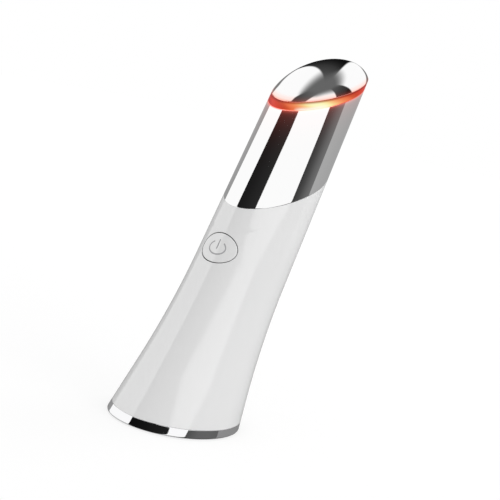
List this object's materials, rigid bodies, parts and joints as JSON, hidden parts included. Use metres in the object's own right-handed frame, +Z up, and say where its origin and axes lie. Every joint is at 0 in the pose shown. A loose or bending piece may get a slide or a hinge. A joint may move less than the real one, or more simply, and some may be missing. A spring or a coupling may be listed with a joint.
{
  "type": "heated eye massager wand",
  "caption": "Flared leaning handle with a push button, a chrome barrel, a glowing ring and an oblique, heated, polished oval tip that vibrates, for massage round the eyes.",
  "frame": {"origin": "where the wand's own axis meets the flat underside of its foot, on the foot pad's face", "axes": "+Z up, square to the foot; -Y to the front, where the button and the low side of the head are; +X to the right of the mirror plane, seen with +Y away. The wand's axis leans back to +Y by 19.7 degrees"},
  "size_m": [0.0392, 0.0763, 0.1166],
  "materials": {
    "white_gloss": "gloss",
    "symbol_grey": "satin",
    "plated_abs": "polished",
    "plated_zinc": "polished",
    "plated_aluminium": "polished",
    "red_diffuser": "satin",
    "grey_abs": "matte",
    "black_plastic": "satin",
    "white_nylon": "satin",
    "circuit_board": "satin",
    "cell_sleeve": "satin",
    "nickel_steel": "satin",
    "bright_steel": "polished",
    "zinc_screw": "satin",
    "ballast_steel": "satin",
    "heavy_alloy": "satin",
    "led_resin": "gloss",
    "polyimide_film": "gloss",
    "silicone_foam": "matte",
    "black_rubber": "matte",
    "grey_rubber": "matte",
    "red_lead": "satin",
    "blue_lead": "satin",
    "white_lead": "satin"
  },
  "bodies": {
    "wand": {"handle_shell": "white_gloss", "main_board": "circuit_board", "tact_switch": "black_plastic", "board_chips": "black_plastic", "lead_sockets": "white_nylon", "inner_frame": "grey_abs", "battery_cell": "cell_sleeve", "motor_can": "nickel_steel", "motor_end_cap": "white_nylon", "motor_boot": "black_rubber", "chrome_barrel": "plated_abs", "frame_screws": "zinc_screw", "light_ring": "red_diffuser", "massage_plate": "plated_aluminium", "head_carrier": "grey_abs", "plate_screws": "zinc_screw", "led_board": "circuit_board", "ring_leds": "led_resin", "heater_pad": "polyimide_film", "heater_backing": "silicone_foam", "thermistor": "black_plastic", "base_ring": "plated_zinc", "base_cap": "grey_abs", "base_screws": "zinc_screw", "foot_ballast": "ballast_steel", "foot_pad": "grey_rubber", "charge_board": "circuit_board", "charge_chips": "black_plastic", "usb_shell": "bright_steel", "usb_tongue": "black_plastic", "battery_leads": "red_lead", "motor_leads": "blue_lead", "charge_leads": "red_lead", "head_leads": "white_lead"},
    "button": {"power_button": "white_gloss", "power_symbol": "symbol_grey", "switch_plunger": "black_plastic"},
    "rotor": {"motor_shaft": "bright_steel", "eccentric_weight": "heavy_alloy"}
  },
  "joints": [
    {"name": "button_press", "type": "slide", "parent": "wand", "child": "button", "axis": [0, 0.9415, -0.3371], "range_m": [0, 0.0003], "stiffness_N_per_m": 1500, "springref_m": -0.0001},
    {"name": "motor_spin", "type": "hinge", "parent": "wand", "child": "rotor", "pos_m": [0, 0.03121, 0.08718], "axis": [0, 0.3371, 0.9415], "continuous": true}
  ]
}
